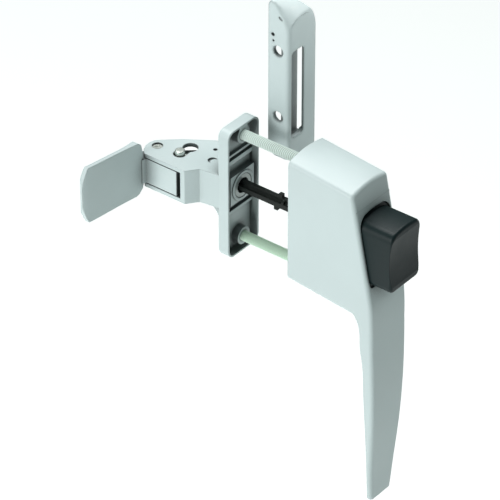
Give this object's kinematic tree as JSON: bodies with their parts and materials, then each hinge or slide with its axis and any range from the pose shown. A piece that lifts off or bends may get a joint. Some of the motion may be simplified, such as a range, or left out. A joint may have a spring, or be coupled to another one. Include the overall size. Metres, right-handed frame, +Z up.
{
  "type": "screen door handle",
  "caption": "Push-button screen door handle set: outer pull, through screws, inner latch with paddle and slide lock, and its strike.",
  "frame": {"origin": "the push rod's axis where it meets the outer handle's mounting face, which is the door's outer face", "axes": "+X out of the door towards the button, +Z up along the pull, +Y across the door towards the latching edge"},
  "size_m": [0.1145, 0.072, 0.1841],
  "materials": {
    "painted_casting": "satin grey paint on a zinc die casting",
    "black_plastic": "satin black moulding",
    "plated_steel": "bright zinc plate",
    "chromate_steel": "yellow-green chromate on zinc plate",
    "spring_steel": "drawn wire"
  },
  "bodies": {
    "frame": {"outer_handle": "painted_casting", "inner_housing": "painted_casting", "screw_top": "plated_steel", "screw_bottom": "chromate_steel", "pivot_pin": "plated_steel", "plunger_ring": "plated_steel", "lever_spring": "spring_steel", "button_spring": "spring_steel", "plunger_spring": "spring_steel", "strike": "painted_casting"},
    "button": {"push_button": "black_plastic", "push_rod": "black_plastic", "rod_clip": "plated_steel"},
    "plunger": {"plunger": "black_plastic"},
    "lever": {"latch_lever": "painted_casting"},
    "lock": {"lock_pin": "plated_steel"}
  },
  "joints": [
    {"name": "button_press", "type": "slide", "parent": "frame", "child": "button", "axis": [-1, 0, 0], "range_m": [0, 0.006], "stiffness_N_per_m": 700, "springref_m": -0.003, "deforming": ["button_spring"]},
    {"name": "plunger_slide", "type": "slide", "parent": "frame", "child": "plunger", "axis": [-1, 0, 0], "range_m": [0, 0.006], "deforming": ["plunger_spring"]},
    {"name": "lever_swing", "type": "hinge", "parent": "frame", "child": "lever", "pos_m": [-0.0628, -0.0076, 0], "axis": [0, 0, 1], "range_deg": [0, 18], "deforming": ["lever_spring"]},
    {"name": "lock_slide", "type": "slide", "parent": "frame", "child": "lock", "axis": [0.0905, 0.9959, 0], "range_m": [0, 0.00552]}
  ],
  "couplings": [
    {"joint": "plunger_slide", "follows": "button_press", "ratio": 1},
    {"joint": "lever_swing", "follows": "button_press", "rad_per_m": 52.35}
  ]
}
